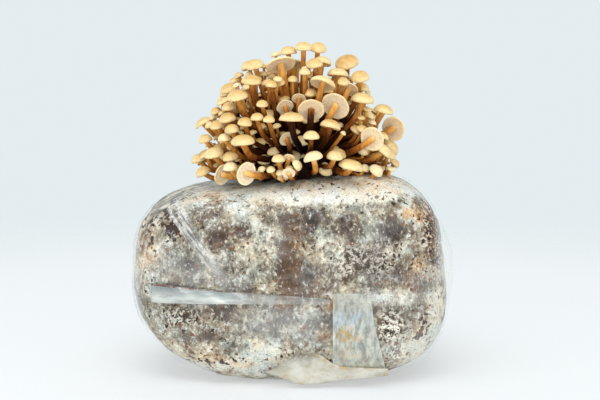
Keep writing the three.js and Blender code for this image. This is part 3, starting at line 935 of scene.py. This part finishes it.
# The cap's upper side, from the margin to the top: share of its width and of its rise
DOME = (
    (1.0, 0.01), (0.995, 0.13), (0.955, 0.30), (0.88, 0.48), (0.78, 0.64), (0.64, 0.79),
    (0.48, 0.90), (0.32, 0.96), (0.16, 0.99),
)
GILL_DEPTH = 0.055  # share of the cap's width
OPEN_CAP = 0.45  # a cap that rises less than this share of its width is open, pale and wavy
YOUNG_CAP = 0.0065  # smaller caps are paler
SEEDS = {"mushrooms": 7, "mound": 11, "young": 23}


def graph(node):
    """The merged points of a CAD node, and each point's neighbours."""
    bm = bmesh.new()
    bm.from_mesh(node.data)
    bmesh.ops.remove_doubles(bm, verts=bm.verts, dist=1e-6)
    points = [v.co.copy() for v in bm.verts]
    near = [[e.other_vert(v).index for e in v.link_edges] for v in bm.verts]
    bm.free()
    return points, near


def layers(start, near, most=12):
    """The rings of points around a point, one edge further out each time."""
    seen = {start}
    found = [[start]]
    while len(found) < most:
        following = sorted({j for i in found[-1] for j in near[i]} - seen)
        if not following:
            break
        seen.update(following)
        found.append(following)
    return found


def middle_of(points):
    return sum(points, Vector()) / len(points)


def spread_of(points):
    middle = middle_of(points)
    return sum((p - middle).length for p in points) / len(points)


def mushroom_from(rings):
    """A mushroom's plan from its CAD rings, from the foot up: stem rings, four cap rings, the top."""
    stem, margin, top = rings[:-5], rings[-4], rings[-1][0]
    spine = [middle_of(ring) for ring in stem]
    face = (top - spine[-1]).normalized()
    return {
        "spine": spine,
        "thick": [spread_of(ring) for ring in stem],
        "face": face,
        "size": spread_of(margin),
        "rise": (top - spine[-1]).length,
    }


def read_mushroom(node):
    """A mushroom's plan from its CAD node. The foot is the point in the middle of a flat ring."""
    points, near = graph(node)
    off_middle = []
    for point, neighbours in zip(points, near):
        off_middle.append((point - middle_of([points[j] for j in neighbours])).length)
    foot = off_middle.index(min(off_middle))
    return mushroom_from([[points[i] for i in ring] for ring in layers(foot, near)[1:]])


def on_foot(way, out=1.0):
    """The point of the mound's surface in a direction from its middle."""
    half = FOOT["half"]
    reach = out / math.sqrt(sum((way[k] / half[k]) ** 2 for k in range(3)))
    return FOOT["middle"] + way * reach


def read_small_mushrooms():
    """The small mushrooms that are one piece with the mound in the CAD model."""
    points, near = graph(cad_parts["cluster_base"])
    found = []
    for top in range(len(points)):
        if len(near[top]) != CAD_SMALL_SIDES:
            continue
        rings = layers(top, near, 7)
        if len(rings) < 7 or any(len(ring) != CAD_SMALL_SIDES for ring in rings[1:]):
            continue
        rings = [[points[i] for i in ring] for ring in reversed(rings)]
        way = (middle_of(rings[0]) - FOOT["middle"]).normalized()
        plan = mushroom_from(rings)
        plan["spine"].insert(0, on_foot(way))
        plan["thick"].insert(0, plan["thick"][0])
        found.append(plan)
    return found


def smooth_line(knots, count):
    """Points along a smooth curve through the knots."""
    knots = [np.array(k) for k in knots]
    ends = [2 * knots[0] - knots[1]] + knots + [2 * knots[-1] - knots[-2]]
    line = []
    for s in np.linspace(0, len(knots) - 1, count):
        i = min(int(s), len(knots) - 2)
        t = s - i
        a, b, c, d = ends[i : i + 4]
        bend = 2 * a - 5 * b + 4 * c - d
        turn = 3 * b - a - 3 * c + d
        line.append(b + 0.5 * ((c - a) * t + bend * t**2 + turn * t**3))
    return np.array(line)


def unit(v):
    return v / np.linalg.norm(v)


class Rings:
    """Rings of points round an axis that turns slowly, without a twist between them."""

    def __init__(self, sides, axis):
        self.sides = sides
        self.spins = np.arange(sides) * 2 * math.pi / sides
        self.right = unit(np.cross(axis, (0.31, 0.52, 0.79)))

    def ring(self, centre, axis, radius, lift=0.0):
        self.right = unit(self.right - axis * self.right.dot(axis))
        left = np.cross(axis, self.right)
        radius = np.broadcast_to(radius, self.sides)[:, None]
        lift = np.broadcast_to(lift, self.sides)[:, None]
        across = np.cos(self.spins)[:, None] * self.right + np.sin(self.spins)[:, None] * left
        return centre + across * radius + axis * lift


class Skin:
    """Collects rings of points into closed skins, with the numbers that the looks read."""

    def __init__(self):
        self.points, self.faces, self.looks = [], [], []
        self.values = {"along": [], "tone": [], "valley": [], "deep": []}
        self.count = 0

    def add(self, points, along, tone, valley=0.0, deep=0.0):
        start = self.count
        self.points.append(points)
        self.count += len(points)
        for key, value in (("along", along), ("tone", tone), ("valley", valley), ("deep", deep)):
            self.values[key].append(np.broadcast_to(value, len(points)))
        return start

    def fan(self, tip, ring, sides, look, flip):
        for k in range(sides):
            pair = (ring + k, ring + (k + 1) % sides)
            self.faces.append([tip, *(pair if flip else pair[::-1])])
            self.looks.append(look)

    def band(self, low, high, sides, look):
        for k in range(sides):
            after = (k + 1) % sides
            self.faces.append([low + k, low + after, high + after, high + k])
            self.looks.append(look)

    def piece(self, name, looks):
        values = {key: np.concatenate(parts) for key, parts in self.values.items()}
        return make_piece(name, np.concatenate(self.points), self.faces, looks, self.looks, values)


def add_stem(skin, plan, rings, line, thick, phase):
    """Adds the foot and the stem along a line. Returns where the last ring starts."""
    tone, sides = plan["tone"], rings.sides
    tip = skin.add(line[:1], 0.0, tone)
    before = None
    for i, centre in enumerate(line):
        axis = unit(line[min(i + 1, STEM_RINGS - 1)] - line[max(i - 1, 0)])
        knobs = 1 + 0.04 * np.sin(3 * rings.spins + phase + 2.5 * i / STEM_RINGS)
        points = rings.ring(centre, axis, thick[i] * knobs)
        start = skin.add(points, i / (STEM_RINGS - 1), tone, deep=plan["deep"])
        if before is None:
            skin.fan(tip, start, sides, STEM, False)
        else:
            skin.band(before, start, sides, STEM)
        before = start
    return before


def add_cap(skin, plan, rings, face, hollow, neck, before, phases):
    """Adds the gills, the thin margin and the cap. neck is the stem's thickness below them."""
    tone, size, rise, sides = plan["tone"], plan["size"], plan["rise"], rings.sides
    top = np.array(plan["spine"][-1])
    wavy = plan["wave"] * size
    lobes = 0.55 * np.sin(2 * rings.spins + phases[1]) + 0.45 * np.sin(3 * rings.spins + phases[2])
    frill = 0.5 * np.sin(5 * rings.spins + phases[3]) + 0.5 * np.sin(8 * rings.spins + phases[0])
    valleys = np.arange(sides) % 2
    inner = neck / size * 1.05

    def waved(out, lift):
        radius = out * size * (1 + 0.5 * plan["wave"] * frill * out)
        return rings.ring(top, face, radius, lift + wavy * lobes * out * out)

    for out, height, deep in HOLLOW:
        out = max(out, inner)
        gill = valleys * deep * GILL_DEPTH * size
        start = skin.add(waved(out, height * hollow + gill), out, tone, valleys * deep)
        skin.band(before, start, sides, GILLS)
        before = start
    for out, height in DOME:
        start = skin.add(waved(out, height * rise), out, tone)
        skin.band(before, start, sides, CAP)
        before = start
    last = skin.add((top + face * rise)[None], 0.0, tone)
    skin.fan(last, before, sides, CAP, True)


def add_mushroom(skin, plan, sides, dice):
    """Adds a mushroom: foot, stem, gills, thin margin and cap are one closed skin."""
    face = unit(np.array(plan["face"]))
    spine = [np.array(p) for p in plan["spine"]]
    inward = unit(spine[0] - spine[1])
    hollow = (0.22 if plan["open"] else 0.30) * plan["rise"]
    knots = [spine[0] + inward * ROOT, *spine, spine[-1] + face * hollow]
    line = smooth_line(knots, STEM_RINGS)
    widths = [plan["thick"][0] * 1.1, *plan["thick"], plan["thick"][-1] * 0.98]
    thick = np.interp(np.linspace(0, 1, STEM_RINGS), np.linspace(0, 1, len(knots)), widths)
    phases = [dice.uniform(0, 2 * math.pi) for _ in range(4)]
    rings = Rings(sides, face)
    before = add_stem(skin, plan, rings, line, thick, phases[0])
    add_cap(skin, plan, rings, face, hollow, thick[-1], before, phases)


def finish_plan(plan, dice):
    """Adds what the CAD model doesn't say: the cap's waves and tone, and how much painted shade darkens the
    stem.
    """
    plan["open"] = plan["rise"] < OPEN_CAP * plan["size"]
    plan["wave"] = dice.uniform(0.03, 0.07) if plan["open"] else dice.uniform(0.01, 0.035)
    place = plan["spine"][-1]
    young = max(0.0, 1 - plan["size"] / YOUNG_CAP)
    low_front = max(0.0, min(1.0, (0.175 - place.z) / 0.02)) * (place.y < -0.02)
    plan["tone"] = min(1.0, max(0.0, dice.uniform(0.3, 0.95) - 0.5 * young - 0.35 * low_front))
    if plan["open"]:
        plan["tone"] *= 0.3
    apart = math.hypot(place.x - PAINTED_SHADE_ZONE["x"], place.z - PAINTED_SHADE_ZONE["z"])
    plan["deep"] = max(0.0, 1 - apart / PAINTED_SHADE_ZONE["reach"]) * (place.y < 0)
    return plan


def make_mushrooms(looks):
    dice = random.Random(SEEDS["mushrooms"])
    plans = {}
    for name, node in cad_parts.items():
        if name.startswith("mushroom_"):
            plans[name] = finish_plan(read_mushroom(node), dice)
    for name, plan in plans.items():
        skin = Skin()
        add_mushroom(skin, plan, SIDES, dice)
        dress(skin.piece(name.replace("mushroom", "fruit"), looks), "mushroom", name)
    return list(plans.values())


# The small mushrooms that fill the crowd
EXTRAS = 320
EXTRAS_A_PIECE = 80
EXTRA_SIZE = (0.0024, 0.0060)
LEFT_AND_BACK = (150, 250)  # degrees, where more of them stand
# How far out they stand, as shares of the crown. At the front they stand behind the stems.
SHARE_AT_FRONT = (0.45, 0.68)
SHARE_ELSEWHERE = (0.66, 0.96)
APART = 0.85  # the least distance between two caps, as a share of their widths


def crowd_way(dice):
    """The direction from the crown's middle to a small mushroom."""
    anywhere = dice.random() < 0.6
    turn = dice.uniform(0, 2 * math.pi) if anywhere else math.radians(dice.uniform(*LEFT_AND_BACK))
    up = dice.uniform(0.05, 0.97)
    flat = math.sqrt(1 - up * up)
    return Vector((flat * math.cos(turn), flat * math.sin(turn), up))


def in_the_dark(top):
    """Whether a cap there hides the stems that painted shade darkens up to the cap."""
    away = math.hypot(top.x - PAINTED_SHADE_ZONE["x"], top.z - PAINTED_SHADE_ZONE["z"] + 0.012)
    return away < 1.3 * PAINTED_SHADE_ZONE["reach"]


def crowd_plan(way, top, size, dice):
    """The plan of a small mushroom with its cap at a place."""
    aim = (top - FOOT["middle"]).normalized()
    start = on_foot(aim)
    face = (way * 0.6 + Vector((dice.uniform(-0.3, 0.3), dice.uniform(-0.3, 0.3), 0.9))).normalized()
    length = (top - start).length
    low = start + aim * 0.4 * length - Vector((0, 0, 0.04 * length))
    high = top - face * 0.3 * length
    thick = 0.0007 + 0.13 * size
    return {
        "spine": [start, low, high, top],
        "thick": [thick * 1.1, thick, thick * 0.95, thick * 0.95],
        "face": face,
        "size": size,
        "rise": size * dice.uniform(0.6, 1.0),
    }


def extra_mushrooms(others, dice):
    """Small mushrooms that fill the crowd where the others leave room."""
    taken = [(plan["spine"][-1], plan["size"]) for plan in others]
    made = []
    while len(made) < EXTRAS:
        way = crowd_way(dice)
        facing = way.y < -0.3 and abs(way.x) < 0.65 and 0.12 < way.z < 0.8
        share = dice.uniform(*(SHARE_AT_FRONT if facing else SHARE_ELSEWHERE))
        top = CROWN["middle"] + Vector([w * half * share for w, half in zip(way, CROWN["half"])])
        size = dice.uniform(*EXTRA_SIZE)
        chance = dice.random()
        if facing and in_the_dark(top) and chance > 0.25:
            continue
        crowded = any((top - place).length < APART * (size + wide) for place, wide in taken)
        if crowded and chance > 0.004:
            continue
        made.append(crowd_plan(way, top, size, dice))
        taken.append((top, size))
    return made


def add_mound(skin):
    """The knobbly dark mound that the stems grow from."""
    bm = bmesh.new()
    bmesh.ops.create_icosphere(bm, subdivisions=6, radius=1)
    start = skin.count
    ball = np.array([v.co for v in bm.verts])
    knobs = 1 + 0.10 * field(ball, 0.22, 2.0, 3) + 0.05 * ridges(ball, 0.12, 5.0)
    points = np.array(FOOT["middle"]) + ball * knobs[:, None] * np.array(FOOT["half"]) * 0.96
    points[:, 2] = np.maximum(points[:, 2], FOOT["floor"])
    skin.add(points, 0.0, 1.0)
    for face in bm.faces:
        skin.faces.append([start + v.index for v in face.verts])
        skin.looks.append(MOUND)
    bm.free()


def make_mound(looks):
    """The mound and the small mushrooms that are one piece with it."""
    dice = random.Random(SEEDS["mound"])
    skin = Skin()
    small = read_small_mushrooms()
    for plan in small:
        add_mushroom(skin, finish_plan(plan, dice), SMALL_SIDES, dice)
    add_mound(skin)
    dress(skin.piece("stem_base", looks + [mound_look()]), "stem_base", "cluster_base")
    return small


def make_young(looks, others):
    """Small mushrooms that stand between the others, joined into a few meshes."""
    dice = random.Random(SEEDS["young"])
    plans = extra_mushrooms(others, dice)
    for start in range(0, EXTRAS, EXTRAS_A_PIECE):
        skin = Skin()
        for plan in plans[start : start + EXTRAS_A_PIECE]:
            add_mushroom(skin, finish_plan(plan, dice), EXTRA_SIDES, dice)
        dress(skin.piece(f"young_{start // EXTRAS_A_PIECE + 1}", looks), "mushroom")


make_camera()
make_world()
for softbox in SOFTBOXES:
    make_softbox(*softbox)
make_floor()

make_block()
make_film()
make_seal()
make_flap()
make_tape()
flesh = [stem_look(), gill_look(), cap_look()]
fruit = make_mushrooms(flesh)
fruit += make_mound(flesh)
make_young(flesh, fruit)
